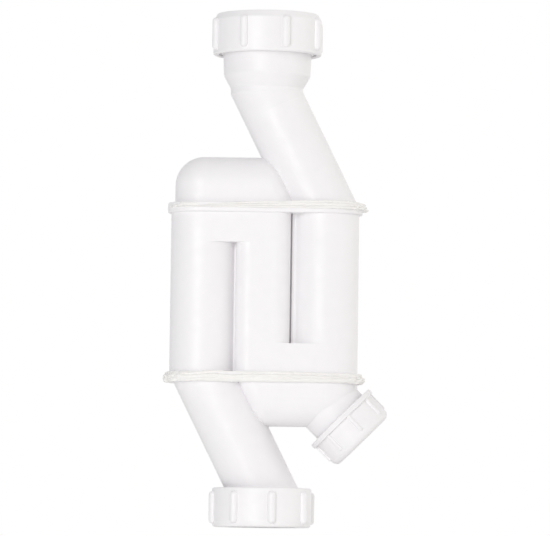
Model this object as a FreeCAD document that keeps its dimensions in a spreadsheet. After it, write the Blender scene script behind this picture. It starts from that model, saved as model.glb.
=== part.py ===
import FreeCAD
import Part
import Sketcher
import math
import os

# A white polypropylene pedestal trap for a washbasin, in millimetres, +Z up.
# The origin is the centre of the inlet bore at its outer end, under the chamfer for the seal.
# Water falls down the slanted inlet pipe and the right leg, turns in the bowl, rises in the middle
# channel, turns in the dome, and leaves down the left leg and the slanted outlet pipe. The body is
# three mouldings, hot-plate welded at two level planes.

SIZES = {
    # walls and the three upright channels of the body
    "wall": 2.4,  # thickness of every moulded wall
    "leg_radius": 18.0,  # outside radius of the round legs and of the slanted pipes
    "leg_spacing": 33.1,  # from the trap's axis to the axis of either leg
    "riser_width": 29.6,  # outside width of the middle channel
    "riser_shift": -0.9,  # the middle channel's centre lies this far along X
    "riser_corner": 7.9,  # outside corner radius of the middle channel
    "web_thickness": 9.0,  # web that joins the middle channel to the right leg
    # heights of the body
    "mouth_to_bend": 36.75,  # inlet mouth down to the bend, where the slanted pipe's axis starts
    "weld_to_weld": 91.85,  # upper weld down to the lower weld
    "bend_to_outlet": 14.45,  # foot of the outlet pipe's axis down to the outlet socket's mouth
    "weir_drop": 18.9,  # upper weld down to the ledge under the crossing over the weir
    "dip_rise": 18.3,  # lower weld up to the ledge over the crossing under the dip
    # flanges and the bead of melt that the hot plate squeezed out
    "flange_thickness": 2.8,
    "flange_overhang": 1.8,  # how far a flange stands out from the legs
    "flange_round": 0.8,
    "bead_overhang": 1.7,  # how far the bead stands out from the flanges
    "bead_round": 1.1,
    "bead_above": 2.3,
    "bead_below": 1.5,
    # dome over the weir
    "dome_radius": 16.0,
    "dome_height": 28.1,
    "dome_flat": 0.2,  # half the width of the dome's flat crown
    "dome_side": 17.5,  # slanted side of the dome at the weld, from the trap's axis
    # bowl under the dip
    "bowl_radius": 18.0,
    "bowl_depth": 26.2,
    "bowl_flat": 2.6,  # half the width of the bowl's flat bottom
    "bowl_side": 14.85,  # slanted side of the bowl at the weld, from the trap's axis
    # slanted pipes
    "pipe_lean": 26.5,  # degrees from upright
    "inlet_pipe_rise": 1.25,  # from the upper weld up to where the pipe meets the body's end
    "outlet_pipe_rise": 1.7,  # the same for the outlet pipe, from the lower weld
    # inlet socket
    "inlet_bore": 21.2,  # radius of the bore that takes the basin's tail
    "inlet_bore_length": 24.0,
    "inlet_thread_root": 25.2,
    "inlet_thread_length": 15.4,
    "socket_wall": 2.8,
    "socket_draft": 2.0,  # degrees
    "socket_cone_start": 27.4,  # below the mouth
    "socket_cone_end": 34.4,  # below the mouth
    "socket_corner": 4.0,
    "neck_corner": 2.0,
    "neck_step": 1.7,  # how far the neck stands out from the slanted pipe
    "neck_rim": 0.4,  # the neck ends this far above the first point of the bend
    "bend_length": 10.0,  # the bend runs into the slanted pipe over this length
    "mouth_chamfer_width": 2.2,
    "mouth_chamfer_depth": 3.0,
    # outlet socket
    "outlet_fit": 0.3,  # from the outside of the slanted pipe to the bore for a waste pipe
    "outlet_bore_length": 11.0,
    "outlet_socket_wall": 4.3,
    # union nuts
    "nut_running_gap": 1.6,  # from a socket's thread root to its nut's bore
    "nut_wall": 2.7,
    "nut_end_wall": 2.6,
    "nut_hole_gap": 0.7,  # from a socket's bore to the hole in its nut's end wall
    "inlet_nut_height": 22.3,
    "inlet_nut_edge_width": 1.9,
    "inlet_nut_edge_height": 3.5,
    "inlet_nut_edge_round": 0.5,
    "inlet_nut_phase": -25.5,  # degrees from X to the first rib, about the nut's own axis
    "outlet_nut_height": 21.3,
    "outlet_nut_edge_width": 0.5,
    "outlet_nut_edge_height": 3.2,
    "outlet_nut_edge_round": 1.4,
    "outlet_nut_phase": -11.5,
    "nut_mouth_lead": 0.6,
    "nut_rim_round": 1.1,
    "rib_radius": 2.3,
    "rib_length": 17.6,
    "rib_end_gap": 2.0,  # from a nut's open rim to the end of its ribs
    # seals and slip washers
    "seal_lip": 2.2,  # thickness of a seal above its socket's mouth
    "seal_wedge": 2.4,  # depth of a seal inside its socket's mouth
    "seal_bore_gap": 0.1,
    "washer_thickness": 1.3,
    "washer_bore_gap": 0.4,
    "washer_rim_gap": 0.3,
    # cleaning eye at the lower right of the bowl
    "eye_out": 41.9,  # centre of the cap's collar, from the trap's axis
    "eye_drop": 20.6,  # centre of the cap's collar, below the lower weld
    "eye_turn": 45.0,  # degrees that the eye's axis is turned from straight down
    "eye_neck_radius": 17.05,
    "eye_bore": 14.6,
    "eye_neck_root": 10.0,  # the neck starts this far inside the collar's plane
    "eye_neck_length": 13.9,  # the neck ends this far outside the collar's plane
    "eye_washer_thickness": 2.0,
    "eye_washer_width": 4.0,
    "cap_running_gap": 1.35,
    "cap_wall": 1.75,
    "cap_end_wall": 2.2,
    "cap_corner": 3.6,
    "collar_overhang": 1.75,
    "collar_thickness": 2.9,
    "collar_round": 0.5,
    "cap_rib_radius": 1.1,
    "cap_rib_length": 13.75,
    "cap_phase": -8.0,
    # patterns
    "nut_ribs": 8,
    "cap_ribs": 8,
}

# Places that follow from the sizes, as formulas of a second sheet.
PLACES = {
    "inlet_mouth": "Sizes.mouth_chamfer_depth",
    "body_end": "Sizes.leg_spacing + Sizes.leg_radius",
    "pipe_half": "Sizes.leg_radius / cos(Sizes.pipe_lean)",
    "pipe_out": "body_end - pipe_half",
    "pipe_rise": "pipe_out / tan(Sizes.pipe_lean)",
    "inlet_bend": "inlet_mouth - Sizes.mouth_to_bend",
    "upper_weld": "inlet_bend - pipe_rise - Sizes.inlet_pipe_rise",
    "lower_weld": "upper_weld - Sizes.weld_to_weld",
    "outlet_bend": "lower_weld + Sizes.outlet_pipe_rise - pipe_rise",
    "outlet_mouth": "outlet_bend - Sizes.bend_to_outlet",
    "riser_left": "Sizes.riser_shift - Sizes.riser_width / 2",
    "riser_right": "Sizes.riser_shift + Sizes.riser_width / 2",
    "bore_radius": "Sizes.leg_radius - Sizes.wall",
    "slant_wall": "Sizes.wall / cos(Sizes.pipe_lean)",
    "flange_radius": "Sizes.leg_radius + Sizes.flange_overhang",
    "neck_radius": "Sizes.leg_radius + Sizes.neck_step",
    "mitre_rise": "abs(pipe_half - neck_radius) / tan(Sizes.pipe_lean)",
    "neck_foot": "inlet_bend + mitre_rise + Sizes.neck_rim",
    "dome_corner": "Sizes.dome_radius - Sizes.dome_flat",
    "bowl_corner": "Sizes.bowl_radius - Sizes.bowl_flat",
    "outlet_bore": "Sizes.leg_radius + Sizes.outlet_fit",
    "outlet_thread_root": "outlet_bore + Sizes.outlet_socket_wall",
    "outlet_roof": "outlet_mouth + Sizes.outlet_bore_length",
    "seat_stack": "Sizes.seal_lip + Sizes.washer_thickness + Sizes.nut_end_wall",
    "inlet_nut_bore": "Sizes.inlet_thread_root + Sizes.nut_running_gap",
    "outlet_nut_bore": "outlet_thread_root + Sizes.nut_running_gap",
    "eye_height": "lower_weld - Sizes.eye_drop",
    "cap_bore": "Sizes.eye_neck_radius + Sizes.cap_running_gap",
    "cap_radius": "cap_bore + Sizes.cap_wall",
    "cap_floor": "Sizes.eye_neck_length + Sizes.eye_washer_thickness",
}

OVERRUN = 2.0  # how far a cutting solid passes the face that it opens

doc = FreeCAD.newDocument("pedestal_trap")


def make_sheets():
    sizes = doc.addObject("Spreadsheet::Sheet", "Sizes")
    for row, (alias, value) in enumerate(SIZES.items(), start=1):
        sizes.set(f"A{row}", alias)
        sizes.set(f"B{row}", str(value))
        sizes.setAlias(f"B{row}", alias)
    doc.recompute()
    places = doc.addObject("Spreadsheet::Sheet", "Places")
    for row, (alias, formula) in enumerate(PLACES.items(), start=1):
        places.set(f"A{row}", alias)
        places.set(f"B{row}", "=" + formula)
        places.setAlias(f"B{row}", alias)
    doc.recompute()
    return sizes


sizes_sheet = make_sheets()


def number(expression):
    """The present value of an expression, used only as a sketch's starting shape."""
    return float(sizes_sheet.evalExpression(str(expression)))


def bind(thing, **properties):
    """Binds properties to expressions; a double underscore in a name stands for a dot."""
    for name, expression in properties.items():
        thing.setExpression(name.replace("__", "."), str(expression))


def turn(thing, angle, *axis):
    """Turns a thing by an angle about an axis through its base, given as three expressions."""
    for letter, part in zip("xyz", axis):
        thing.setExpression(f"Placement.Rotation.Axis.{letter}", part)
    thing.setExpression("Placement.Rotation.Angle", angle)


# Sketches

def add_sketch(body, name, plane, lift="0"):
    sketch = body.newObject("Sketcher::SketchObject", name)
    feature = [f for f in body.Origin.OriginFeatures if f.Role == plane][0]
    sketch.AttachmentSupport = [(feature, "")]
    sketch.MapMode = "FlatFace"
    bind(sketch, AttachmentOffset__Base__z=lift)
    return sketch


def drive(sketch, kind, *geometry, value):
    """Adds a dimension to a sketch and binds it to an expression."""
    index = sketch.addConstraint(Sketcher.Constraint(kind, *geometry, number(value)))
    sketch.setExpression(f"Constraints[{index}]", str(value))


def place_point(sketch, geometry, position, x, y):
    """Dimensions one point of a sketch from its origin, or lays it on its X axis, -1, or Y, -2."""
    for kind, axis, value in (("DistanceX", -2, x), ("DistanceY", -1, y)):
        if value == "0":
            sketch.addConstraint(Sketcher.Constraint("PointOnObject", geometry, position, axis))
        else:
            drive(sketch, kind, -1, 1, geometry, position, value=value)


def draw_outline(sketch, corners):
    """A closed outline through corners (x, y) or (x, y, radius), all expressions.

    A corner with a radius is rounded by an arc tangent to both sides, and a construction point
    keeps the place of the sharp corner.
    """
    points = [FreeCAD.Vector(number(c[0]), number(c[1]), 0) for c in corners]
    count = len(corners)
    ends = []  # where the side before and the side after each corner meet it
    for i, corner in enumerate(corners):
        before = (points[i - 1] - points[i]).normalize()
        after = (points[(i + 1) % count] - points[i]).normalize()
        inset = 0.0
        if len(corner) == 3:
            inset = number(corner[2]) / math.tan(before.getAngle(after) / 2)
        ends.append((points[i] + before * inset, points[i] + after * inset))
    sides = []
    for i in range(count):
        start, end = ends[i][1], ends[(i + 1) % count][0]
        sides.append(sketch.addGeometry(Part.LineSegment(start, end)))
    for i, corner in enumerate(corners):
        side_before, side_after = sides[i - 1], sides[i]
        if len(corner) == 2:
            sketch.addConstraint(Sketcher.Constraint("Coincident", side_before, 2, side_after, 1))
            place_point(sketch, side_after, 1, corner[0], corner[1])
        else:
            round_corner(sketch, points[i], ends[i], side_before, side_after, corner)


def round_corner(sketch, point, ends, side_before, side_after, corner):
    radius = number(corner[2])
    middle = (ends[0] + ends[1]) * 0.5
    inward = (middle - point).normalize()
    reach = (ends[0] - point).Length
    centre = point + inward * math.hypot(reach, radius)
    crown = centre - inward * radius
    arc = sketch.addGeometry(Part.Arc(ends[0], crown, ends[1]))
    turns_left = (point - ends[0]).cross(ends[1] - point).z > 0
    first, last = (1, 2) if turns_left else (2, 1)
    sketch.addConstraint(Sketcher.Constraint("Tangent", side_before, 2, arc, first))
    sketch.addConstraint(Sketcher.Constraint("Tangent", arc, last, side_after, 1))
    drive(sketch, "Radius", arc, value=corner[2])
    sharp = sketch.addGeometry(Part.Point(point), True)
    place_point(sketch, sharp, 1, corner[0], corner[1])
    sketch.addConstraint(Sketcher.Constraint("PointOnObject", sharp, 1, side_before))
    sketch.addConstraint(Sketcher.Constraint("PointOnObject", sharp, 1, side_after))


def draw_slot(sketch, spacing, radius):
    """A slot along X with its two round ends centred on -spacing and +spacing."""
    half, r = number(spacing), number(radius)
    up = FreeCAD.Vector(0, 0, 1)
    right = sketch.addGeometry(Part.ArcOfCircle(
        Part.Circle(FreeCAD.Vector(half, 0, 0), up, r), -math.pi / 2, math.pi / 2))
    top = sketch.addGeometry(Part.LineSegment(FreeCAD.Vector(half, r, 0), FreeCAD.Vector(-half, r, 0)))
    left = sketch.addGeometry(Part.ArcOfCircle(
        Part.Circle(FreeCAD.Vector(-half, 0, 0), up, r), math.pi / 2, 3 * math.pi / 2))
    foot = sketch.addGeometry(Part.LineSegment(FreeCAD.Vector(-half, -r, 0), FreeCAD.Vector(half, -r, 0)))
    for before, after in ((right, top), (top, left), (left, foot), (foot, right)):
        sketch.addConstraint(Sketcher.Constraint("Tangent", before, 2, after, 1))
    place_point(sketch, right, 3, spacing, "0")
    place_point(sketch, left, 3, f"-({spacing})", "0")
    drive(sketch, "Radius", right, value=radius)


# Features of a body

def add_body(name):
    return doc.addObject("PartDesign::Body", name)


def extrude(body, kind, sketch, length, symmetric=False, backwards=False):
    feature = body.newObject("PartDesign::" + kind, sketch.Name + kind)
    feature.Profile = sketch
    feature.SideType = "Symmetric" if symmetric else "One side"
    feature.Reversed = backwards
    bind(feature, Length=length)
    return feature


def revolve(body, kind, sketch):
    feature = body.newObject("PartDesign::" + kind, sketch.Name + kind)
    feature.Profile = sketch
    feature.ReferenceAxis = (sketch, ["V_Axis"])
    feature.Angle = 360
    return feature


def turned_body(name, corners):
    """A body turned about its own Z axis from an outline of (radius, height) corners."""
    body = add_body(name)
    profile = add_sketch(body, name + "Profile", "XZ_Plane")
    draw_outline(profile, corners)
    revolve(body, "Revolution", profile)
    return body


def round_edges(body, chosen, radius):
    """Fillets the edges of the body's tip for which the test chosen(edge) holds."""
    doc.recompute()
    base = body.Tip
    names = [f"Edge{i}" for i, edge in enumerate(base.Shape.Edges, start=1) if chosen(edge)]
    fillet = body.newObject("PartDesign::Fillet", body.Name + "Fillet")
    fillet.Base = (base, names)
    bind(fillet, Radius=radius)
    return fillet


# Primitives and booleans

def cylinder(name, radius, height, **place):
    solid = doc.addObject("Part::Cylinder", name)
    bind(solid, Radius=radius, Height=height, **place)
    return solid


def box(name, x, length, y_half, z, height):
    solid = doc.addObject("Part::Box", name)
    bind(solid, Length=length, Width=f"2 * ({y_half})", Height=height)
    bind(solid, Placement__Base__x=x, Placement__Base__y=f"-({y_half})", Placement__Base__z=z)
    return solid


def fuse(name, *parts):
    result = doc.addObject("Part::MultiFuse", name)
    result.Shapes = list(parts)
    result.Refine = True
    return result


def cut(name, base, tool):
    result = doc.addObject("Part::Cut", name)
    result.Base, result.Tool = base, tool
    result.Refine = True
    return result


def common(name, first, second):
    result = doc.addObject("Part::MultiCommon", name)
    result.Shapes = [first, second]
    return result


# The mouldings

def make_chamber(name, radius, depth, corner, reach, side_round, sill):
    """One U-turn's chamber, or its hollow: a pill on the weld plane with a slanted end.

    Its round end turns about Z, it runs along +X to the slanted side, and its top edges are
    rounded. The sill carries a hollow past the weld plane.
    """
    body = add_body(name)
    end = add_sketch(body, name + "End", "XZ_Plane")
    draw_outline(end, [("0", f"-({sill})"), (radius, f"-({sill})"), (radius, depth, corner),
                       ("0", depth)])
    revolve(body, "Revolution", end)
    run = add_sketch(body, name + "Run", "YZ_Plane")
    draw_outline(run, [(f"-({radius})", f"-({sill})"), (radius, f"-({sill})"),
                       (radius, depth, corner), (f"-({radius})", depth, corner)])
    extrude(body, "Pad", run, f"{reach} + {OVERRUN}")
    top, slope = f"({depth} + {OVERRUN})", "tan(Sizes.pipe_lean)"
    foot = f"({sill} + {OVERRUN})"
    slant = add_sketch(body, name + "Slant", "XZ_Plane")
    draw_outline(slant, [(f"{reach} + {foot} * {slope}", f"-{foot}"),
                         (f"{reach} + 2 * {radius}", f"-{foot}"),
                         (f"{reach} + 2 * {radius}", top),
                         (f"{reach} - {top} * {slope}", top)])
    extrude(body, "Pocket", slant, f"4 * {radius}", symmetric=True)
    lean = math.tan(math.radians(SIZES["pipe_lean"]))

    def on_slanted_side(edge):
        points = [v.Point for v in edge.Vertexes]
        points.append(edge.valueAt((edge.FirstParameter + edge.LastParameter) / 2))
        on_side = all(abs(p.x + p.z * lean - number(reach)) < 0.01 for p in points)
        return on_side and points[-1].z > -number(sill) + 0.01

    round_edges(body, on_slanted_side, side_round)
    return body


def make_turn(name, side, radius, depth, corner, reach):
    """The outer solid and the hollow of a U-turn chamber, seated on its weld plane."""
    outer = make_chamber(name, radius, depth, corner, reach, "Sizes.riser_corner", "0")
    hollow = make_chamber(name + "Hollow", f"({radius} - Sizes.wall)", f"({depth} - Sizes.wall)",
                          f"{corner} - Sizes.wall", f"({reach} - Places.slant_wall)",
                          "Sizes.riser_corner - Sizes.wall", str(OVERRUN))
    for body in (outer, hollow):
        if side == "upper":
            bind(body, Placement__Base__x="-Sizes.leg_spacing", Placement__Base__z="Places.upper_weld")
        else:
            turn(body, "180", "0", "1", "0")
            bind(body, Placement__Base__x="Sizes.leg_spacing", Placement__Base__z="Places.lower_weld")
    return outer, hollow


def add_plate(name, lift, thickness, radius):
    """A level plate with two round ends, centred on the legs."""
    body = add_body(name)
    plate = add_sketch(body, name + "Plate", "XY_Plane", lift)
    draw_slot(plate, "Sizes.leg_spacing", radius)
    extrude(body, "Pad", plate, thickness)
    return body


def make_flange(name, weld, side):
    """A flange above its weld plane with side 1, or below it with side -1, its free edge rounded."""
    thickness = "Sizes.flange_thickness"
    lift = weld if side == 1 else f"{weld} - {thickness}"
    free = number(f"{weld} + {side} * {thickness}")
    body = add_plate(name, lift, thickness, "Places.flange_radius")
    round_edges(body, lambda edge: all(abs(v.Z - free) < 0.01 for v in edge.Vertexes),
                "Sizes.flange_round")
    return body


def make_pipe(name, radius, bend, start, sense, low, high):
    """A slanted pipe's solid between two level planes.

    Its axis meets the trap's axis at the bend. It starts square at a distance from the bend and
    runs away from it, down and to the right with sense 1, or up and to the left with sense -1.
    """
    lean = "Sizes.pipe_lean"
    rod = cylinder(name + "Rod", radius, "2 * Places.pipe_rise / cos(Sizes.pipe_lean)",
                   Placement__Base__x=f"({start}) * {sense} * sin({lean})",
                   Placement__Base__z=f"{bend} - ({start}) * {sense} * cos({lean})")
    turn(rod, f"180 - {lean}" if sense == 1 else f"360 - {lean}", "0", "1", "0")
    slab = box(name + "Slab", "-2 * Places.body_end", "4 * Places.body_end", "2 * Places.body_end",
               low, f"{high} - ({low})")
    return common(name, rod, slab)


def make_bend(name, thinner):
    """The bend from the neck under the inlet socket into the slanted pipe.

    Its middle ring is tilted so that the neck's outline meets the pipe's at both sides.
    """
    lean, pipe = "Sizes.pipe_lean", f"(Sizes.leg_radius - {thinner})"
    neck = f"(Places.neck_radius - {thinner})"
    mitre = f"atan(({pipe} / cos({lean}) - {neck}) / tan({lean}) / {neck})"
    rings = []
    for label, radius, x, z, tilt in (
            ("Top", neck, "0", "Places.neck_foot", "0"),
            ("Middle", neck, "0", "Places.inlet_bend", mitre),
            ("Foot", pipe, f"Sizes.bend_length * sin({lean})",
             f"Places.inlet_bend - Sizes.bend_length * cos({lean})", lean)):
        ring = doc.addObject("Part::Circle", name + label)
        bind(ring, Radius=radius, Placement__Base__x=x, Placement__Base__z=z)
        turn(ring, tilt, "0", "-1", "0")
        rings.append(ring)
    loft = doc.addObject("Part::Loft", name)
    loft.Sections = rings
    loft.Solid = True
    loft.Ruled = True
    return loft


def make_inlet_socket():
    """The inlet socket and its neck, turned about the trap's axis, and its hollow."""
    root, chamfer = "Sizes.inlet_thread_root", "Sizes.mouth_chamfer_width"
    barrel = "(Sizes.inlet_bore + Sizes.socket_wall)"
    drawn_in = "(Sizes.socket_cone_start - Sizes.inlet_thread_length) * tan(Sizes.socket_draft)"
    neck_foot = "Places.neck_foot - Places.inlet_mouth"
    outer = turned_body("InletSocket", [
        ("0", "0"), (root, "0"), (root, "-Sizes.inlet_thread_length"),
        (barrel, "-Sizes.inlet_thread_length"),
        (f"{barrel} - {drawn_in}", "-Sizes.socket_cone_start", "Sizes.socket_corner"),
        ("Places.neck_radius", "-Sizes.socket_cone_end", "Sizes.neck_corner"),
        ("Places.neck_radius", neck_foot), ("0", neck_foot)])
    hollow = turned_body("InletSocketHollow", [
        ("0", f"{OVERRUN}"), (f"Sizes.inlet_bore + {chamfer}", f"{OVERRUN}"),
        (f"Sizes.inlet_bore + {chamfer}", "0"),
        ("Sizes.inlet_bore", "-Sizes.mouth_chamfer_depth"),
        ("Sizes.inlet_bore", "-Sizes.inlet_bore_length"),
        ("Places.neck_radius - Sizes.wall", "-Sizes.socket_cone_end"),
        ("Places.neck_radius - Sizes.wall", neck_foot), ("0", neck_foot)])
    for body in (outer, hollow):
        bind(body, Placement__Base__z="Places.inlet_mouth")
    return outer, hollow


def make_upper_moulding():
    dome, dome_hollow = make_turn("Dome", "upper", "Sizes.dome_radius", "Sizes.dome_height",
                                  "Places.dome_corner", "(Sizes.dome_side + Sizes.leg_spacing)")
    flange = make_flange("UpperFlange", "Places.upper_weld", 1)
    socket, socket_hollow = make_inlet_socket()
    pipe = make_pipe("InletPipe", "Sizes.leg_radius", "Places.inlet_bend", "Sizes.bend_length", 1,
                     "Places.upper_weld", "0")
    bore = make_pipe("InletPipeBore", "Places.bore_radius", "Places.inlet_bend",
                     "Sizes.bend_length", 1, f"(Places.upper_weld - {OVERRUN})", "0")
    crown = cut("Crown", fuse("CrownSolid", dome, flange), dome_hollow)
    solid = fuse("UpperSolid", crown, pipe, make_bend("InletBend", "0"), socket)
    hollow = fuse("UpperHollow", bore, make_bend("InletBendBore", "Sizes.wall"), socket_hollow)
    moulding = cut("UpperMoulding", solid, hollow)
    moulding.Label = "upper_moulding"
    return moulding


def make_channels(name, thinner, low, high, weir, dip):
    """The three upright channels with their two crossings, as solids or, thinner, as hollows."""
    radius = f"(Sizes.leg_radius - {thinner})"
    height = f"{high} - ({low})"
    parts = [cylinder(f"{name}{label}Leg", radius, height, Placement__Base__x=x, Placement__Base__z=low)
             for label, x in (("Left", "-Sizes.leg_spacing"), ("Right", "Sizes.leg_spacing"))]
    riser = add_body(name + "Riser")
    section = add_sketch(riser, name + "RiserSection", "XY_Plane", low)
    left, right = f"Places.riser_left + {thinner}", f"Places.riser_right - {thinner}"
    corner = f"Sizes.riser_corner - {thinner}"
    draw_outline(section, [(left, f"-{radius}", corner), (right, f"-{radius}", corner),
                           (right, radius, corner), (left, radius, corner)])
    extrude(riser, "Pad", section, height)
    parts.append(riser)
    parts.append(box(name + "Weir", "-Sizes.leg_spacing", "Sizes.leg_spacing + Sizes.riser_shift",
                     radius, weir, f"{high} - ({weir})"))
    parts.append(box(name + "Dip", "Sizes.riser_shift", "Sizes.leg_spacing - Sizes.riser_shift",
                     radius, low, f"{dip} - ({low})"))
    return parts


def make_centre_moulding():
    weir = "(Places.upper_weld - Sizes.weir_drop)"
    dip = "(Places.lower_weld + Sizes.dip_rise)"
    low, high = "Places.lower_weld", "Places.upper_weld"
    channels = make_channels("Channel", "0", low, high, weir, dip)
    hollows = make_channels("Hollow", "Sizes.wall", f"({low} - {OVERRUN})", f"({high} + {OVERRUN})",
                            f"{weir} + Sizes.wall", f"{dip} - Sizes.wall")
    web = box("Web", "Places.riser_right - Sizes.wall / 2",
              "Sizes.leg_spacing - Sizes.leg_radius - Places.riser_right + Sizes.wall",
              "Sizes.web_thickness / 2", low, f"{high} - ({low})")
    top = make_flange("CentreTopFlange", "Places.upper_weld", -1)
    foot = make_flange("CentreFootFlange", "Places.lower_weld", 1)
    moulding = cut("CentreMoulding", fuse("CentreSolid", *channels, web, top, foot),
                   fuse("CentreHollow", *hollows))
    moulding.Label = "centre_moulding"
    return moulding


def make_outlet_socket():
    """The outlet socket, with a roof that the slanted pipe enters, and its hollow."""
    root, chamfer = "Places.outlet_thread_root", "Sizes.mouth_chamfer_width"
    mouth, roof = "Places.outlet_mouth", "Places.outlet_roof"
    shoulder = f"{roof} + Sizes.wall"
    outer = turned_body("OutletSocket", [
        ("0", mouth), (root, mouth), (root, shoulder), ("0", shoulder)])
    hollow = turned_body("OutletSocketHollow", [
        ("0", f"{mouth} - {OVERRUN}"), (f"Places.outlet_bore + {chamfer}", f"{mouth} - {OVERRUN}"),
        (f"Places.outlet_bore + {chamfer}", mouth),
        ("Places.outlet_bore", f"{mouth} + Sizes.mouth_chamfer_depth"),
        ("Places.outlet_bore", roof), ("0", roof)])
    return outer, hollow


def eye_place(thing, along):
    """Puts a thing on the cleaning eye's axis, with its own +Z pointing out of the trap."""
    bind(thing, Placement__Base__x=f"Sizes.eye_out + ({along}) * sin(Sizes.eye_turn)",
         Placement__Base__z=f"Places.eye_height - ({along}) * cos(Sizes.eye_turn)")
    turn(thing, "180 - Sizes.eye_turn", "0", "1", "0")


def make_lower_moulding():
    bowl, bowl_hollow = make_turn("Bowl", "lower", "Sizes.bowl_radius", "Sizes.bowl_depth",
                                  "Places.bowl_corner", "(Sizes.bowl_side + Sizes.leg_spacing)")
    flange = make_flange("LowerFlange", "Places.lower_weld", -1)
    neck_length = "Sizes.eye_neck_root + Sizes.eye_neck_length"
    neck = cylinder("EyeNeck", "Sizes.eye_neck_radius", neck_length)
    eye_bore = cylinder("EyeBore", "Sizes.eye_bore", f"{neck_length} + {OVERRUN}")
    for thing in (neck, eye_bore):
        eye_place(thing, "-Sizes.eye_neck_root")
    socket, socket_hollow = make_outlet_socket()
    pipe = make_pipe("OutletPipe", "Sizes.leg_radius", "Places.outlet_bend", "-Sizes.leg_radius", -1,
                     "Places.outlet_roof", "Places.lower_weld")
    bore = make_pipe("OutletPipeBore", "Places.bore_radius", "Places.outlet_bend",
                     "-Sizes.leg_radius", -1, "Places.outlet_roof",
                     f"(Places.lower_weld + {OVERRUN})")
    sump = cut("Sump", fuse("SumpSolid", bowl, flange, neck), bowl_hollow)
    solid = fuse("LowerSolid", sump, pipe, socket)
    moulding = cut("LowerMoulding", solid, fuse("LowerHollow", bore, socket_hollow, eye_bore))
    moulding.Label = "lower_moulding"
    return moulding


def make_weld_bead(label, weld):
    name, foot = label.title().replace("_", ""), f"{weld} - Sizes.bead_below"
    thickness = "(Sizes.bead_above + Sizes.bead_below)"
    bead = add_plate(name, foot, thickness, "Places.flange_radius + Sizes.bead_overhang")
    levels = [number(foot), number(f"{foot} + {thickness}")]

    def at_a_rim(edge):
        return any(all(abs(v.Z - level) < 0.01 for v in edge.Vertexes) for level in levels)

    round_edges(bead, at_a_rim, "Sizes.bead_round")
    opening = add_sketch(bead, name + "Opening", "XY_Plane", f"{foot} - {OVERRUN}")
    draw_slot(opening, "Sizes.leg_spacing", "Places.flange_radius")
    extrude(bead, "Pocket", opening, f"{thickness} + {2 * OVERRUN}", backwards=True)
    bead.Label = label
    return bead


# Nuts, cap, seals and washers, each turned about its own Z axis, which points out of the trap

def add_ribs(body, radius, rib_radius, rib_length, foot, count, phase):
    """Rounded upright ribs, half sunk in a nut's side, the first at an angle from X."""
    name = body.Name
    rib = add_sketch(body, name + "Rib", "XZ_Plane")
    for letter, part in zip("xyz", ("0", "1", "0")):
        rib.setExpression(f"AttachmentOffset.Rotation.Axis.{letter}", part)
    rib.setExpression("AttachmentOffset.Rotation.Angle", phase)
    half = f"({rib_length} / 2)"
    centre = f"({foot} + {half})"
    draw_outline(rib, [(radius, f"{centre} - {half}"),
                       (f"{radius} + {rib_radius}", f"{centre} - {half}", f"{rib_radius} * 0.9"),
                       (f"{radius} + {rib_radius}", f"{centre} + {half}", f"{rib_radius} * 0.9"),
                       (radius, f"{centre} + {half}")])
    axis = sketch_axis(rib, radius)
    feature = revolve(body, "Revolution", rib)
    feature.ReferenceAxis = (rib, [axis])
    pattern = body.newObject("PartDesign::PolarPattern", name + "Ribs")
    pattern.Originals = [feature]
    pattern.Axis = (rib, ["V_Axis"])
    pattern.Angle = 360
    bind(pattern, Occurrences=count)
    body.Tip = pattern


def sketch_axis(sketch, x):
    """A construction line along the sketch's height at x, to turn a rib about."""
    at = number(x)
    line = sketch.addGeometry(
        Part.LineSegment(FreeCAD.Vector(at, 0, 0), FreeCAD.Vector(at, 1, 0)), True)
    place_point(sketch, line, 1, x, "0")
    place_point(sketch, line, 2, x, "1")
    return "Axis0"


def make_nut(label, bore, hole):
    """A union nut: its end wall at the top with the hole in it, its open rim at the foot."""
    name = label.title().replace("_", "")
    radius = f"({bore} + Sizes.nut_wall)"
    lead, edge = "Sizes.nut_mouth_lead", f"Sizes.{label}_edge"
    height, phase = f"Sizes.{label}_height", f"Sizes.{label}_phase"
    nut = turned_body(name, [
        (hole, "0"), (f"{radius} - {edge}_width", "0", f"{edge}_round"),
        (radius, f"-{edge}_height"), (radius, f"-{height}", "Sizes.nut_rim_round"),
        (f"{bore} + {lead}", f"-{height}"), (bore, f"-{height} + {lead}"),
        (bore, "-Sizes.nut_end_wall"), (hole, "-Sizes.nut_end_wall")])
    add_ribs(nut, radius, "Sizes.rib_radius", "Sizes.rib_length",
             f"(Sizes.rib_end_gap - {height})", "Sizes.nut_ribs", phase)
    nut.Label = label
    return nut


def make_seal(label, bore):
    """A tapered rubber ring: a flat lip on the socket's mouth and a wedge inside its chamfer."""
    chamfer, depth = "Sizes.mouth_chamfer_width", "Sizes.mouth_chamfer_depth"
    inner = f"{bore} + Sizes.seal_bore_gap"
    tip = f"{bore} + {chamfer} * (1 - Sizes.seal_wedge / {depth})"
    seal = turned_body(label.title().replace("_", ""), [
        (inner, "Sizes.seal_lip"), (inner, "-Sizes.seal_wedge"), (tip, "-Sizes.seal_wedge"),
        (f"{bore} + {chamfer}", "0"), (f"{bore} + {chamfer} + Sizes.wall / 2", "0"),
        (f"{bore} + {chamfer}", "Sizes.seal_lip")])
    seal.Label = label
    return seal


def make_washer(label, bore, rim):
    washer = turned_body(label.title().replace("_", ""), [
        (f"{bore} + Sizes.washer_bore_gap", "0"), (rim, "0"), (rim, "Sizes.washer_thickness"),
        (f"{bore} + Sizes.washer_bore_gap", "Sizes.washer_thickness")])
    washer.Label = label
    return washer


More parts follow.
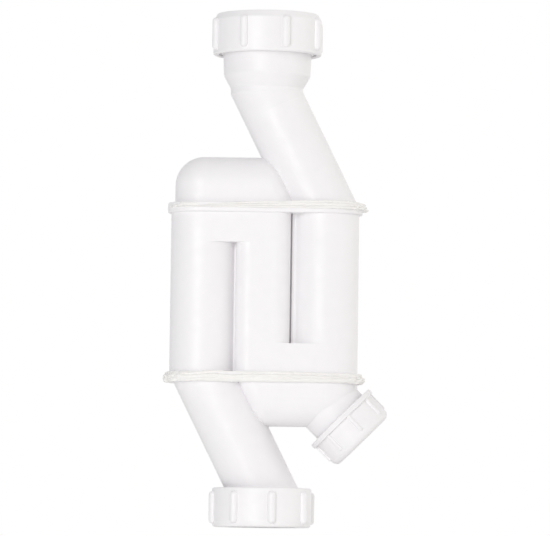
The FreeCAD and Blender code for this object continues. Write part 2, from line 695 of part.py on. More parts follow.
def make_inlet_fittings():
    nut = make_nut("inlet_nut", "Places.inlet_nut_bore", "Sizes.inlet_bore + Sizes.nut_hole_gap")
    seal = make_seal("inlet_seal", "Sizes.inlet_bore")
    washer = make_washer("inlet_slip_washer", "Sizes.inlet_bore",
                         "Places.inlet_nut_bore - Sizes.washer_rim_gap")
    for thing, rise in ((nut, "Places.seat_stack"), (seal, "0"), (washer, "Sizes.seal_lip")):
        bind(thing, Placement__Base__z=f"Places.inlet_mouth + {rise}")
    return [nut, seal, washer]


def make_outlet_fittings():
    nut = make_nut("outlet_nut", "Places.outlet_nut_bore", "Places.outlet_bore + Sizes.nut_hole_gap")
    seal = make_seal("outlet_seal", "Places.outlet_bore")
    washer = make_washer("outlet_slip_washer", "Places.outlet_bore",
                         "Places.outlet_nut_bore - Sizes.washer_rim_gap")
    for thing, drop in ((nut, "Places.seat_stack"), (seal, "0"), (washer, "Sizes.seal_lip")):
        hang_down(thing, drop)
    return [nut, seal, washer]


def hang_down(body, drop):
    """Turns a fitting over about X, so that it faces down from the outlet's mouth."""
    turn(body, "180", "1", "0", "0")
    bind(body, Placement__Base__z=f"Places.outlet_mouth - ({drop})")


def make_cleaning_eye():
    end = "(Places.cap_floor + Sizes.cap_end_wall)"
    collar = "Places.cap_radius + Sizes.collar_overhang"
    cap = turned_body("CleaningEyeCap", [
        ("Places.cap_bore", "0"), (collar, "0", "Sizes.collar_round"),
        (collar, "Sizes.collar_thickness", "Sizes.collar_round"),
        ("Places.cap_radius", "Sizes.collar_thickness"), ("Places.cap_radius", end, "Sizes.cap_corner"),
        ("0", end), ("0", "Places.cap_floor"), ("Places.cap_bore", "Places.cap_floor")])
    add_ribs(cap, "Places.cap_radius", "Sizes.cap_rib_radius", "Sizes.cap_rib_length", "0",
             "Sizes.cap_ribs", "Sizes.cap_phase")
    cap.Label = "cleaning_eye_cap"
    eye_place(cap, "0")
    washer = turned_body("CleaningEyeWasher", [
        ("Sizes.eye_neck_radius - Sizes.eye_washer_width", "Sizes.eye_neck_length"),
        ("Sizes.eye_neck_radius", "Sizes.eye_neck_length"),
        ("Sizes.eye_neck_radius", "Places.cap_floor"),
        ("Sizes.eye_neck_radius - Sizes.eye_washer_width", "Places.cap_floor")])
    washer.Label = "cleaning_eye_washer"
    eye_place(washer, "0")
    return [cap, washer]


def check_document(pieces):
    doc.recompute()
    for thing in doc.Objects:
        if {"Invalid", "Error"} & set(thing.State):
            raise RuntimeError(f"{thing.Name} failed: {thing.State}")
    for piece in pieces:
        if piece.Shape.isNull() or not piece.Shape.isValid():
            raise RuntimeError(f"{piece.Label} has no valid shape")


def main():
    pieces = [make_upper_moulding(), make_centre_moulding(), make_lower_moulding(),
              make_weld_bead("upper_weld_bead", "Places.upper_weld"),
              make_weld_bead("lower_weld_bead", "Places.lower_weld")]
    pieces += make_inlet_fittings() + make_outlet_fittings() + make_cleaning_eye()
    check_document(pieces)
    os.makedirs("parts", exist_ok=True)
    for piece in pieces:
        piece.Shape.exportStep(f"parts/{piece.Label}.step")
        print(piece.Label, len(piece.Shape.Solids), "solid", round(piece.Shape.Volume, 1), "mm3")


main()
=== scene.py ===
import math

import bmesh
import bpy
from mathutils import Matrix, Quaternion, Vector, noise


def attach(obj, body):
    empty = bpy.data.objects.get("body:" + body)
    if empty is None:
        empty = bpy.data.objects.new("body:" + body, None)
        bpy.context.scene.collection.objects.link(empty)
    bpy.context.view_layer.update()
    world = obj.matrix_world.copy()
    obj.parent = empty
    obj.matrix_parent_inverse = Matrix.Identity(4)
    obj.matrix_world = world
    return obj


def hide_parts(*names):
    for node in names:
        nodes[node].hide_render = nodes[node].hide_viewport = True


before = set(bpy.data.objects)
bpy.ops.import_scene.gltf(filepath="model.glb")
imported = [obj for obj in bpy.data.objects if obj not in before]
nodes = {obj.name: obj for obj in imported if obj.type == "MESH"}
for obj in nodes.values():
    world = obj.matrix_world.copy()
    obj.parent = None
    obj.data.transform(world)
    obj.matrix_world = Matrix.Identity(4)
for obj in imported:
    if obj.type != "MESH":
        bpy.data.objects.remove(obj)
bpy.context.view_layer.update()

millimetre = 0.001

# Places of the trap's own parts, in millimetres from the inlet bore's outer end
trap = {
    "legRadius": 18.0,
    "legSpacing": 33.1,
    "upperWeld": -97.15,
    "lowerWeld": -189.0,
    "inletMouth": 3.0,
    "outletMouth": -263.9,
    "eyeCentre": (41.9, 0.0, -209.6),
    "eyeTurn": 45.0,  # degrees from straight down, towards +X
}


def addNode(tree, kind, **settings):
    node = tree.nodes.new(kind)
    for key, value in settings.items():
        setattr(node, key, value)
    return node


def spinOpen(bm, geom, centre, angle, steps, rise=0.0):
    # A turn about Z that isn't closed; with a rise at each step it is a screw
    return bmesh.ops.spin(bm, geom=geom, cent=centre, axis=(0.0, 0.0, 1.0), dvec=(0.0, 0.0, rise),
                          angle=angle, steps=steps,
                          use_merge=False, use_normal_flip=False, use_duplicate=False)


def finishPiece(bm, name, unit=1.0):
    # Turns a bmesh into an object at the origin, in metres
    bmesh.ops.scale(bm, vec=(unit,) * 3, verts=bm.verts)
    mesh = bpy.data.meshes.new(name)
    bm.to_mesh(mesh)
    bm.free()
    for face in mesh.polygons:
        face.use_smooth = True
    piece = bpy.data.objects.new(name, mesh)
    bpy.context.collection.objects.link(piece)
    return piece


# Scene

cameraSet = {
    "target": (0.0056, 0.0, -0.1290),
    "distance": 2.8,
    "elevation": -3.65,  # a little under the target's height, looking up
    "roll": 0.75,  # the trap leans a little to the right in the picture
    "lens": 337.0,
    "sensor": 36.0,
    "clip": (0.1, 30.0),
}

lampSet = {
    # name: place, size, watts, colour
    "keyPanel": ((-0.78, -1.9, 0.10), 0.95, 14.3, (0.99, 1.0, 0.99)),
    "lowPanel": ((-0.25, -0.95, -0.55), 0.5, 0.6, (0.985, 0.985, 0.995)),
}

# Light that the studio's walls and ceiling give, and what its floor throws back
wallLight = {
    # side: which way it lies, strength, colour
    "front": ((0.0, -1.0, 0.0), 0.42, (1.0, 0.97, 1.0)),
    "behind": ((0.0, 1.0, 0.0), 0.94, (0.98, 0.96, 1.0)),
    "left": ((-1.0, 0.0, 0.0), 0.38, (0.95, 0.98, 1.0)),
    "right": ((1.0, 0.0, 0.0), 1.38, (1.0, 0.99, 0.95)),
    "above": ((0.0, 0.0, 1.0), 0.66, (1.0, 1.0, 0.97)),
    "below": ((0.0, 0.0, -1.0), 0.50, (1.0, 1.01, 1.0)),
}

backdropSet = {
    "floorHeight": -0.95,
    "floorSize": 12.0,
    "floorColour": (0.90, 0.90, 0.89, 1.0),
    "floorRoughness": 0.85,
    "seenColour": (1.0, 1.0, 1.0, 1.0),  # what the camera sees past the floor
}


def makeCamera(settings):
    data = bpy.data.cameras.new("photoCamera")
    data.lens = settings["lens"]
    data.sensor_width = settings["sensor"]
    data.clip_start, data.clip_end = settings["clip"]
    camera = bpy.data.objects.new("photoCamera", data)
    lift = math.radians(settings["elevation"])
    back = Vector((0.0, -math.cos(lift), math.sin(lift)))
    camera.location = Vector(settings["target"]) + back * settings["distance"]
    camera.rotation_mode = "QUATERNION"
    tilt = Quaternion((0.0, 0.0, 1.0), math.radians(settings["roll"]))
    camera.rotation_quaternion = (-back).to_track_quat("-Z", "Y") @ tilt
    bpy.context.collection.objects.link(camera)
    bpy.context.scene.camera = camera


def makeLamps(settings):
    aim = Vector(cameraSet["target"])
    for name, (place, size, watts, colour) in settings.items():
        data = bpy.data.lights.new(name, "AREA")
        data.shape = "DISK"
        data.size = size
        data.energy = watts
        data.color = colour
        lamp = bpy.data.objects.new(name, data)
        lamp.location = place
        lamp.rotation_euler = (aim - Vector(place)).to_track_quat("-Z", "Y").to_euler()
        bpy.context.collection.objects.link(lamp)


def makeWorld(settings):
    # The walls' light falls on the trap, and the camera sees plain white behind it
    world = bpy.data.worlds.new("studioWorld")
    bpy.context.scene.world = world
    world.use_nodes = True
    tree = world.node_tree
    tree.nodes.clear()
    lit = addNode(tree, "ShaderNodeBackground")
    seen = addNode(tree, "ShaderNodeBackground")
    seen.inputs["Color"].default_value = backdropSet["seenColour"]
    rays = addNode(tree, "ShaderNodeLightPath")
    direct = addNode(tree, "ShaderNodeMath", operation="MAXIMUM")
    mix = addNode(tree, "ShaderNodeMixShader")
    out = addNode(tree, "ShaderNodeOutputWorld")
    link = tree.links.new
    link(addWallLight(tree, settings), lit.inputs["Color"])
    link(rays.outputs["Is Camera Ray"], direct.inputs[0])
    link(rays.outputs["Is Transmission Ray"], direct.inputs[1])
    link(direct.outputs[0], mix.inputs[0])
    link(lit.outputs[0], mix.inputs[1])
    link(seen.outputs[0], mix.inputs[2])
    link(mix.outputs[0], out.inputs["Surface"])


def addWallLight(tree, settings):
    # Each side counts by the square of how far the ray points its way, so the six add up evenly
    ray = addNode(tree, "ShaderNodeTexCoord")
    total = None
    for side, (way, strength, colour) in settings.items():
        along = addNode(tree, "ShaderNodeVectorMath", operation="DOT_PRODUCT")
        along.inputs[1].default_value = way
        ahead = addNode(tree, "ShaderNodeMath", operation="MAXIMUM")
        ahead.inputs[1].default_value = 0.0
        share = addNode(tree, "ShaderNodeMath", operation="POWER")
        share.inputs[1].default_value = 2.0
        glow = addNode(tree, "ShaderNodeVectorMath", operation="MULTIPLY_ADD", label=side)
        glow.inputs[1].default_value = [strength * c for c in colour]
        tree.links.new(ray.outputs["Generated"], along.inputs[0])
        tree.links.new(along.outputs["Value"], ahead.inputs[0])
        tree.links.new(ahead.outputs[0], share.inputs[0])
        tree.links.new(share.outputs[0], glow.inputs[0])
        if total:
            tree.links.new(total, glow.inputs[2])
        total = glow.outputs["Vector"]
    return total


def makeFloor(settings):
    bm = bmesh.new()
    bmesh.ops.create_grid(bm, x_segments=1, y_segments=1, size=settings["floorSize"] / 2)
    bmesh.ops.translate(bm, verts=bm.verts, vec=(0.0, 0.0, settings["floorHeight"]))
    floor = finishPiece(bm, "studioFloor")
    material = bpy.data.materials.new("paleFloor")
    material.use_nodes = True
    shader = material.node_tree.nodes["Principled BSDF"]
    shader.inputs["Base Color"].default_value = settings["floorColour"]
    shader.inputs["Roughness"].default_value = settings["floorRoughness"]
    floor.data.materials.append(material)


makeCamera(cameraSet)
makeLamps(lampSet)
makeWorld(wallLight)
makeFloor(backdropSet)
bpy.context.scene.view_settings.view_transform = "Standard"
print("camera, lamps and floor are in place")


# Materials

skinSet = {
    # scales are on object coordinates in metres, depths are shares of the bump's height
    "grainSize": 2600.0, "grainDepth": 0.35, "grainDetail": 3.0,
    "waveSize": 160.0, "waveDepth": 1.0, "waveDetail": 1.0,
    "glossRange": (0.35, 0.65),  # the part of the waves over which the roughness changes
}
speckSet = {"spacing": 42.0, "size": 0.012}

plasticSets = {
    "whitePolypropylene": {
        "colour": (0.936, 0.921, 0.936), "shade": (0.906, 0.892, 0.911),
        "speck": (0.42, 0.36, 0.30), "speckSize": 0.011,
        "roughness": (0.38, 0.48), "bump": 0.12, "bumpDepth": 0.00006,
    },
    "meltedPolypropylene": {
        "colour": (0.965, 0.951, 0.940), "shade": (0.90, 0.884, 0.868),
        "speck": (0.48, 0.42, 0.36), "speckSize": 0.012,
        "roughness": (0.26, 0.48), "bump": 0.3, "bumpDepth": 0.00012,
    },
    "naturalPolyethylene": {
        "colour": (0.84, 0.84, 0.79), "shade": (0.80, 0.80, 0.74),
        "speck": (0.60, 0.58, 0.50), "speckSize": 0.01,
        "roughness": (0.25, 0.34), "bump": 0.08, "bumpDepth": 0.00005,
    },
    "blackRubber": {
        "colour": (0.035, 0.035, 0.037), "shade": (0.055, 0.054, 0.053),
        "speck": (0.16, 0.16, 0.16), "speckSize": 0.03,
        "roughness": (0.62, 0.78), "bump": 0.25, "bumpDepth": 0.00008,
    },
}


def newGroup(name, inputs, outputs):
    group = bpy.data.node_groups.new(name, "ShaderNodeTree")
    for label, value in inputs.items():
        socket = group.interface.new_socket(label, in_out="INPUT", socket_type="NodeSocketFloat")
        socket.default_value = value
    for label in outputs:
        group.interface.new_socket(label, in_out="OUTPUT", socket_type="NodeSocketFloat")
    return group, addNode(group, "NodeGroupInput"), addNode(group, "NodeGroupOutput")


def makeMouldSkin(settings):
    # The fine spark-eroded grain of a mould, over the slow waves of shrinkage
    group, start, end = newGroup("mouldSkin", {
        "Grain Size": settings["grainSize"], "Grain Depth": settings["grainDepth"],
        "Wave Size": settings["waveSize"], "Wave Depth": settings["waveDepth"],
    }, ["Height", "Patch"])
    place = addNode(group, "ShaderNodeTexCoord")
    grain = addNode(group, "ShaderNodeTexNoise")
    grain.inputs["Detail"].default_value = settings["grainDetail"]
    wave = addNode(group, "ShaderNodeTexNoise")
    wave.inputs["Detail"].default_value = settings["waveDetail"]
    fine = addNode(group, "ShaderNodeMath", operation="MULTIPLY")
    slow = addNode(group, "ShaderNodeMath", operation="MULTIPLY")
    total = addNode(group, "ShaderNodeMath", operation="ADD")
    link = group.links.new
    link(place.outputs["Object"], grain.inputs["Vector"])
    link(place.outputs["Object"], wave.inputs["Vector"])
    link(start.outputs["Grain Size"], grain.inputs["Scale"])
    link(start.outputs["Wave Size"], wave.inputs["Scale"])
    link(grain.outputs["Fac"], fine.inputs[0])
    link(start.outputs["Grain Depth"], fine.inputs[1])
    link(wave.outputs["Fac"], slow.inputs[0])
    link(start.outputs["Wave Depth"], slow.inputs[1])
    link(fine.outputs[0], total.inputs[0])
    link(slow.outputs[0], total.inputs[1])
    link(total.outputs[0], end.inputs["Height"])
    link(wave.outputs["Fac"], end.inputs["Patch"])
    return group


def makeSpecks(settings):
    # Dark specks of burnt plastic, far apart
    group, start, end = newGroup("darkSpecks", {
        "Spacing": settings["spacing"], "Speck Size": settings["size"],
    }, ["Mask"])
    place = addNode(group, "ShaderNodeTexCoord")
    cells = addNode(group, "ShaderNodeTexVoronoi")
    edge = addNode(group, "ShaderNodeMath", operation="LESS_THAN")
    link = group.links.new
    link(place.outputs["Object"], cells.inputs["Vector"])
    link(start.outputs["Spacing"], cells.inputs["Scale"])
    link(cells.outputs["Distance"], edge.inputs[0])
    link(start.outputs["Speck Size"], edge.inputs[1])
    link(edge.outputs[0], end.inputs["Mask"])
    return group


def makePlastic(name, settings):
    material = bpy.data.materials.new(name)
    material.use_nodes = True
    tree = material.node_tree
    shader = tree.nodes["Principled BSDF"]
    skin = addNode(tree, "ShaderNodeGroup", node_tree=mouldSkin)
    specks = addNode(tree, "ShaderNodeGroup", node_tree=darkSpecks)
    specks.inputs["Speck Size"].default_value = settings["speckSize"]
    tone = addNode(tree, "ShaderNodeMix", data_type="RGBA")
    tone.inputs["A"].default_value = (*settings["colour"], 1.0)
    tone.inputs["B"].default_value = (*settings["shade"], 1.0)
    dirt = addNode(tree, "ShaderNodeMix", data_type="RGBA")
    dirt.inputs["B"].default_value = (*settings["speck"], 1.0)
    gloss = addNode(tree, "ShaderNodeMapRange")
    gloss.inputs["From Min"].default_value = skinSet["glossRange"][0]
    gloss.inputs["From Max"].default_value = skinSet["glossRange"][1]
    gloss.inputs["To Min"].default_value = settings["roughness"][0]
    gloss.inputs["To Max"].default_value = settings["roughness"][1]
    bump = addNode(tree, "ShaderNodeBump")
    bump.inputs["Strength"].default_value = settings["bump"]
    bump.inputs["Distance"].default_value = settings["bumpDepth"]
    link = tree.links.new
    link(skin.outputs["Patch"], tone.inputs["Factor"])
    link(tone.outputs["Result"], dirt.inputs["A"])
    link(specks.outputs["Mask"], dirt.inputs["Factor"])
    link(dirt.outputs["Result"], shader.inputs["Base Color"])
    link(skin.outputs["Patch"], gloss.inputs["Value"])
    link(gloss.outputs["Result"], shader.inputs["Roughness"])
    link(skin.outputs["Height"], bump.inputs["Height"])
    link(bump.outputs["Normal"], shader.inputs["Normal"])
    return material


def dress(piece, finish):
    piece.data.materials.clear()
    piece.data.materials.append(materials[finish])


nodeFinish = {
    "upper_moulding": "whitePolypropylene",
    "centre_moulding": "whitePolypropylene",
    "lower_moulding": "whitePolypropylene",
    "upper_weld_bead": "meltedPolypropylene",
    "lower_weld_bead": "meltedPolypropylene",
    "inlet_nut": "whitePolypropylene",
    "outlet_nut": "whitePolypropylene",
    "cleaning_eye_cap": "whitePolypropylene",
    "inlet_seal": "blackRubber",
    "outlet_seal": "blackRubber",
    "cleaning_eye_washer": "blackRubber",
    "inlet_slip_washer": "naturalPolyethylene",
    "outlet_slip_washer": "naturalPolyethylene",
}

mouldSkin = makeMouldSkin(skinSet)
darkSpecks = makeSpecks(speckSet)
materials = {name: makePlastic(name, settings) for name, settings in plasticSets.items()}
for name, finish in nodeFinish.items():
    dress(nodes[name], finish)
print("materials are on", len(nodeFinish), "nodes")


# Weld flash: the melt that the hot plate squeezed out round both joints

flashSets = {
    # section: (out from the legs, up from the weld) round one section of the flash, lip by lip
    # topLine and reachLine: how far its top is raised, and how far its lips reach, along X
    # dents: (place along X, half width, depth, height) of each, at the front and round the ends
    # streak, crumb, endCrumb: how rough the lips are, and the crumbs on them and at the ends
    "upperWeldFlash": {
        "node": "upper_weld_bead", "weld": trap["upperWeld"], "seed": 3.0,
        "section": [(0.8, 2.1), (0.9, 2.9), (1.4, 3.15), (1.95, 2.95), (2.2, 2.5), (2.15, 2.2),
                    (2.0, 2.05), (2.35, 1.85), (2.75, 1.5), (2.85, 1.1), (2.65, 0.9), (2.5, 0.75),
                    (2.85, 0.6), (3.3, 0.35), (3.45, -0.05), (3.25, -0.4), (2.6, -0.55),
                    (1.5, -0.45), (1.1, 0.2), (1.0, 1.2)],
        "topLine": [(-54, -1.6), (-50, -0.9), (-46, -0.7), (-38, -1.2), (-28, -1.1), (-18, -0.6),
                    (-8, -0.25), (0, 0.15), (10, 0.35), (20, 0.75), (28, 1.0), (45, 0.95),
                    (50, 0.6), (55, 0.3)],
        "reachLine": [(-55, 0.35), (-46, 0.75), (-30, 1.0), (40, 1.0), (49, 1.25), (55, 1.45)],
        "dents": [(-35.0, 5.0, 0.5, 1.7), (22.0, 6.0, 0.5, 0.9), (-9.0, 9.0, 0.45, 2.2)],
        "streak": 0.8, "crumb": 0.12, "endCrumb": 1.3,
    },
    "lowerWeldFlash": {
        "node": "lower_weld_bead", "weld": trap["lowerWeld"], "seed": 11.0,
        "section": [(0.8, 2.1), (0.9, 2.8), (1.4, 3.1), (2.05, 2.9), (2.5, 2.45), (2.55, 2.0),
                    (2.3, 1.7), (2.2, 1.5), (2.7, 1.3), (3.2, 0.9), (3.4, 0.4), (3.3, -0.1),
                    (2.95, -0.35), (2.8, -0.55), (3.1, -0.8), (3.25, -1.25), (3.1, -1.8),
                    (2.75, -2.35), (2.2, -2.8), (1.6, -2.95), (1.0, -2.75), (1.1, 0.0)],
        "topLine": [(-55, -0.9), (-50, -0.2), (-37, -0.45), (-30, 0.0), (-24.5, 0.3),
                    (-19, -0.25), (-11, -0.1), (5, 0.0), (20, -0.2), (30, -0.5), (45, -0.65),
                    (50, -0.5), (55, -0.9)],
        "reachLine": [(-55, 0.95), (-40, 1.0), (40, 1.0), (50, 1.1), (55, 1.1)],
        "dents": [(-17.5, 5.0, 1.7, 1.5), (-22.0, 4.5, 0.9, 0.0), (3.0, 2.6, 1.0, 0.4),
                  (14.5, 3.5, 0.7, -0.9), (-2.5, 6.0, 0.8, 1.6), (33.0, 7.0, 0.6, 1.1),
                  (-40.0, 5.0, 0.7, 1.2)],
        "streak": 1.15, "crumb": 0.14, "endCrumb": 1.3,
    },
}
flashShape = {
    "roundEnd": 110, "straightRun": 88,  # steps
    "merge": 0.01,
    # noise over the joint: how fine along X and Y, how fine along Z
    "lips": (0.075, 0.62), "smallLips": (0.19, 1.1), "smallLipShare": 0.45,
    "crumbs": (0.4, 0.75), "topCrumbs": (0.35, 0.5), "topCrumbShare": 0.4,
    "seedSlope": 1.7,
    "buried": 1.0, "freeOver": 0.7,  # still up to here, and free this much further out
    "reachFrom": 0.9, "leastOut": 0.75,
    "endBegins": 9.0, "endOver": 8.0,  # past a leg's centre the flash grows rough
    "dentHeight": 0.55,
    "riseFrom": -0.4, "riseOver": 3.0,  # the top line lifts what lies above the weld
}


def makeWeldFlash(name, settings):
    radius, spacing = trap["legRadius"], trap["legSpacing"]
    bm = bmesh.new()
    ring = [bm.verts.new((-spacing, radius + out, settings["weld"] + up))
            for out, up in settings["section"]]
    edges = [bm.edges.new((a, b)) for a, b in zip(ring, ring[1:] + ring[:1])]
    front = ring + edges
    runStep = 2.0 * spacing / flashShape["straightRun"]
    for side in (-1.0, 1.0):  # a half turn round one leg, then the straight run to the other leg
        turned = spinOpen(bm, front, (side * spacing, 0.0, 0.0), math.pi, flashShape["roundEnd"])
        front = turned["geom_last"]
        for _ in range(flashShape["straightRun"]):
            rim = [g for g in front if isinstance(g, bmesh.types.BMEdge)]
            grown = bmesh.ops.extrude_edge_only(bm, edges=rim)["geom"]
            moved = [g for g in grown if isinstance(g, bmesh.types.BMVert)]
            bmesh.ops.translate(bm, verts=moved, vec=(-side * runStep, 0.0, 0.0))
            front = [g for g in grown if not isinstance(g, bmesh.types.BMFace)]
    bmesh.ops.remove_doubles(bm, verts=bm.verts, dist=flashShape["merge"])
    bmesh.ops.recalc_face_normals(bm, faces=bm.faces)
    for vert in bm.verts:
        roughenFlash(vert, settings)
    flash = finishPiece(bm, name, millimetre)
    dress(flash, "meltedPolypropylene")
    smoother = flash.modifiers.new("softened", "SUBSURF")
    smoother.levels = smoother.render_levels = 1
    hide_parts(settings["node"])
    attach(flash, "trap_body")


def roughenFlash(vert, settings):
    x, y, z = vert.co
    shape = flashShape
    spacing = trap["legSpacing"]
    core = max(-spacing, min(spacing, x))
    outward = Vector((x - core, y, 0.0))
    out = outward.length - trap["legRadius"]
    outward.normalize()
    up = z - settings["weld"]
    seed = Vector((settings["seed"], settings["seed"] * shape["seedSlope"], 0.0))

    def grain(kind, shift):
        across, upwards = shape[kind]
        return noise.noise(Vector((x * across, y * across, up * upwards)) + shift)

    # lips that come and go along the joint, each by itself, and crumbs on top of them
    streak = grain("lips", seed)
    streak += shape["smallLipShare"] * grain("smallLips", -seed)
    end = shareOf(abs(x) - spacing - shape["endBegins"], shape["endOver"])
    rough = settings["crumb"] * (1.0 - end) + settings["endCrumb"] * end
    move = settings["streak"] * streak + rough * grain("crumbs", seed)
    move += (valueAlong(settings["reachLine"], x) - 1.0) * (out - shape["reachFrom"])
    for place, half, depth, height in settings["dents"]:
        if y < 0.0 or abs(x) > spacing:
            near = ((x - place) / half) ** 2 + ((up - height) / shape["dentHeight"]) ** 2
            move -= depth * math.exp(-near)
    free = shareOf(out - shape["buried"], shape["freeOver"])
    vert.co += outward * max(free * move, shape["leastOut"] - out)
    lifted = shareOf(up - shape["riseFrom"], shape["riseOver"])
    rise = valueAlong(settings["topLine"], x) * lifted
    vert.co.z += rise + free * shape["topCrumbShare"] * rough * grain("topCrumbs", -seed)


def shareOf(value, whole):
    return max(0.0, min(1.0, value / whole))


def valueAlong(line, x):
    for (x0, v0), (x1, v1) in zip(line, line[1:]):
        if x <= x1:
            share = max(0.0, (x - x0) / (x1 - x0))
            return v0 + (v1 - v0) * share
    return line[-1][1]


for name, settings in flashSets.items():
    makeWeldFlash(name, settings)
print("weld flash is round both joints")


# Fillets in the grooves between the middle channel and the legs, front and back

riser = {"left": -15.7, "right": 13.9, "depth": 18.0, "corner": 7.9}  # the middle channel's walls
grooveSets = {
    # side of the channel, fillet radius, width of the slot left beside it, heights
    "leftGrooveFillet": {"side": -1.0, "radius": 0.72, "slot": 0.0, "low": -187.0, "high": -115.6},
    "rightGrooveFillet": {"side": 1.0, "radius": 1.9, "slot": 0.95, "low": -171.2, "high": -99.4},
}
grooveShape = {
    "steps": 20,
    "sunk": 0.5,  # how deep the fillet is let into the walls
    "slotFloor": -6.2,
    "back": -3.5,  # where it ends inside, towards the trap's middle plane
    "merge": 0.0001,
    "sharpAngle": 35.0,
}


def makeGrooveFillet(name, settings):
    side, radius, low = settings["side"], settings["radius"], settings["low"]
    sunk, back, floor = grooveShape["sunk"], grooveShape["back"], grooveShape["slotFloor"]
    wall = riser["right"] if side > 0.0 else riser["left"]
    leg = Vector((side * trap["legSpacing"], 0.0, low))
    corner = Vector((wall - side * riser["corner"], riser["corner"] - riser["depth"], low))
    centre = touchingCentre(corner, riser["corner"] + radius, leg, trap["legRadius"] + radius, side)
    onCorner = (corner - centre).normalized()
    onLeg = (leg - centre).normalized()
    # a slot, where there is one, stays open between the fillet and the channel
    reach = onCorner.angle(onLeg) - math.acos(1.0 - settings["slot"] / radius)
    bm = bmesh.new()
    first = bm.verts.new(centre + onLeg * radius)
    spinOpen(bm, [first], centre, side * reach, grooveShape["steps"])
    arc = list(bm.verts)
    end = arc[-1].co
    inWall, inLeg = wall - side * sunk, trap["legRadius"] - sunk
    if settings["slot"]:
        inner = [Vector((end.x, floor, low)), Vector((inWall, floor, low))]
    else:
        inner = [Vector((inWall, end.y, low))]
    inner += [Vector((inWall, back, low)),
              Vector((leg.x - side * math.sqrt(inLeg ** 2 - back ** 2), back, low)),
              leg + (arc[0].co - leg).normalized() * inLeg]
    foot = bm.faces.new(arc + [bm.verts.new(place) for place in inner])
    grown = bmesh.ops.extrude_face_region(bm, geom=[foot])
    raised = [g for g in grown["geom"] if isinstance(g, bmesh.types.BMVert)]
    bmesh.ops.translate(bm, verts=raised, vec=(0.0, 0.0, settings["high"] - low))
    bmesh.ops.mirror(bm, geom=bm.verts[:] + bm.edges[:] + bm.faces[:], axis="Y",
                     merge_dist=grooveShape["merge"])
    bmesh.ops.recalc_face_normals(bm, faces=bm.faces)
    fillet = finishPiece(bm, name, millimetre)
    fillet.data.set_sharp_from_angle(angle=math.radians(grooveShape["sharpAngle"]))
    dress(fillet, "whitePolypropylene")
    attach(fillet, "trap_body")


def touchingCentre(corner, toCorner, leg, toLeg, side):
    # Centre of the arc that touches the channel's corner and the leg, on the front's side
    gap = leg - corner
    along = (toCorner ** 2 - toLeg ** 2 + gap.length ** 2) / (2.0 * gap.length)
    off = math.sqrt(toCorner ** 2 - along ** 2)
    gap.normalize()
    return corner + gap * along + Vector((side * gap.y, -side * gap.x, 0.0)) * off


for name, settings in grooveSets.items():
    makeGrooveFillet(name, settings)
print("fillets are in the grooves")


# Screw threads, right-handed, on the sockets, the neck, the nuts and the cap

threadSets = {
    # heights run along the thread's own axis, which points out of the trap
    "inletSocketThread": {"body": "trap_body", "at": "inlet", "root": 25.2, "crest": 26.3,
                          "low": -13.2, "high": -1.2, "lead": 4.0, "start": 0.0},
    "inletNutThread": {"body": "inlet_nut_body", "at": "inlet", "root": 26.8, "crest": 25.65,
                       "low": -15.4, "high": -0.6, "lead": 4.0, "start": 180.0},
    "outletSocketThread": {"body": "trap_body", "at": "outlet", "root": 22.6, "crest": 23.7,
                           "low": -11.6, "high": -1.2, "lead": 4.0, "start": 0.0},
    "outletNutThread": {"body": "outlet_nut_body", "at": "outlet", "root": 24.2, "crest": 23.05,
                        "low": -13.6, "high": -0.6, "lead": 4.0, "start": 180.0},
    "eyeNeckThread": {"body": "trap_body", "at": "eye", "root": 17.05, "crest": 17.95,
                      "low": 2.6, "high": 12.4, "lead": 3.5, "start": 0.0},
    "eyeCapThread": {"body": "eye_cap_body", "at": "eye", "root": 18.4, "crest": 17.4,
                     "low": 1.6, "high": 12.6, "lead": 3.5, "start": 180.0},
}
threadShape = {
    "rootWidth": 1.9, "crestWidth": 0.8,
    "sunk": 0.25,  # how deep the ridge stands in its wall
    "rounding": 0.2,
    # (down from the crest, out from its edge) round the soft edge, in shares of the rounding
    "softEdge": [(1.0, 0.4), (0.3, -0.15), (0.0, -1.0)],
    "stepsPerTurn": 72,
    "runOut": 0.22, "endShare": 0.12,  # of a turn, and of the ridge's height at its very end
    "sharpAngle": 60.0,
}
threadPlaces = {
    # where a thread's axis starts, and the turn from straight up to the way it points
    "inlet": ((0.0, 0.0, trap["inletMouth"]), 0.0, "X"),
    "outlet": ((0.0, 0.0, trap["outletMouth"]), 180.0, "X"),
    "eye": (trap["eyeCentre"], 180.0 - trap["eyeTurn"], "Y"),
}


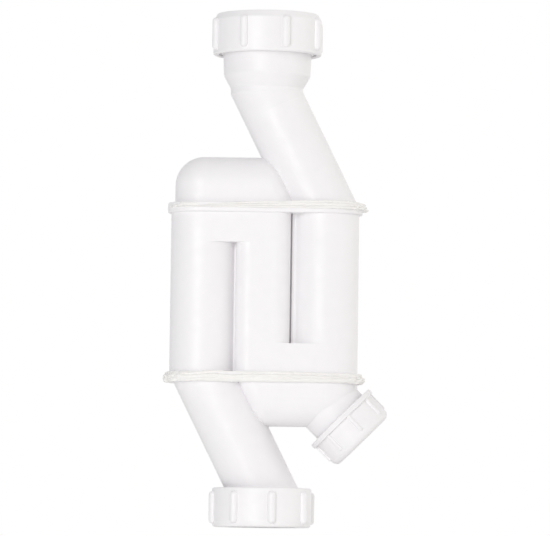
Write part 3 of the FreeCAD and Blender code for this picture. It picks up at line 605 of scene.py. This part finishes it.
def makeThread(name, settings):
    lead, root, crest = settings["lead"], settings["root"], settings["crest"]
    turns = (settings["high"] - settings["low"]) / lead
    steps = round(turns * threadShape["stepsPerTurn"])
    outwards = 1.0 if crest > root else -1.0
    foot = root - outwards * threadShape["sunk"]
    halfRoot, halfCrest = threadShape["rootWidth"] / 2, threadShape["crestWidth"] / 2
    soft = threadShape["rounding"]
    flank = [(foot, halfRoot)] + [(crest - outwards * down * soft, halfCrest + out * soft)
                                  for down, out in threadShape["softEdge"]]
    section = [(r, -h) for r, h in flank] + flank[::-1]
    bm = bmesh.new()
    ring = [bm.verts.new((r, 0.0, settings["low"] + h)) for r, h in section]
    edges = list(bm.faces.new(ring).edges)
    turned = spinOpen(bm, ring + edges, (0.0, 0.0, 0.0), 2 * math.pi * turns, steps,
                      rise=lead * turns / steps)
    last = [g for g in turned["geom_last"] if isinstance(g, bmesh.types.BMEdge)]
    bmesh.ops.contextual_create(bm, geom=last)
    for vert in bm.verts:
        thinThreadEnd(vert, settings, foot, turns)
    bmesh.ops.recalc_face_normals(bm, faces=bm.faces)
    bmesh.ops.rotate(bm, verts=bm.verts, cent=(0.0, 0.0, 0.0),
                     matrix=Matrix.Rotation(math.radians(settings["start"]), 3, "Z"))
    place, turn, axis = threadPlaces[settings["at"]]
    placed = Matrix.Translation(place) @ Matrix.Rotation(math.radians(turn), 4, axis)
    bmesh.ops.transform(bm, matrix=placed, verts=bm.verts)
    thread = finishPiece(bm, name, millimetre)
    thread.data.set_sharp_from_angle(angle=math.radians(threadShape["sharpAngle"]))
    dress(thread, "whitePolypropylene")
    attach(thread, settings["body"])


def thinThreadEnd(vert, settings, foot, turns):
    # The ridge rises out of its wall over the first part of a turn and sinks back over the last
    x, y, z = vert.co
    turn = math.atan2(y, x) / (2 * math.pi)
    passed = turn + round((z - settings["low"]) / settings["lead"] - turn)
    runOut = threadShape["runOut"]
    share = max(threadShape["endShare"], min(1.0, passed / runOut, (turns - passed) / runOut))
    eased = share * share * (3 - 2 * share)  # slow at both its ends
    radius = math.hypot(x, y)
    thinned = foot + (radius - foot) * eased
    vert.co.x *= thinned / radius
    vert.co.y *= thinned / radius


for name, settings in threadSets.items():
    makeThread(name, settings)
print("threads:", len(threadSets))
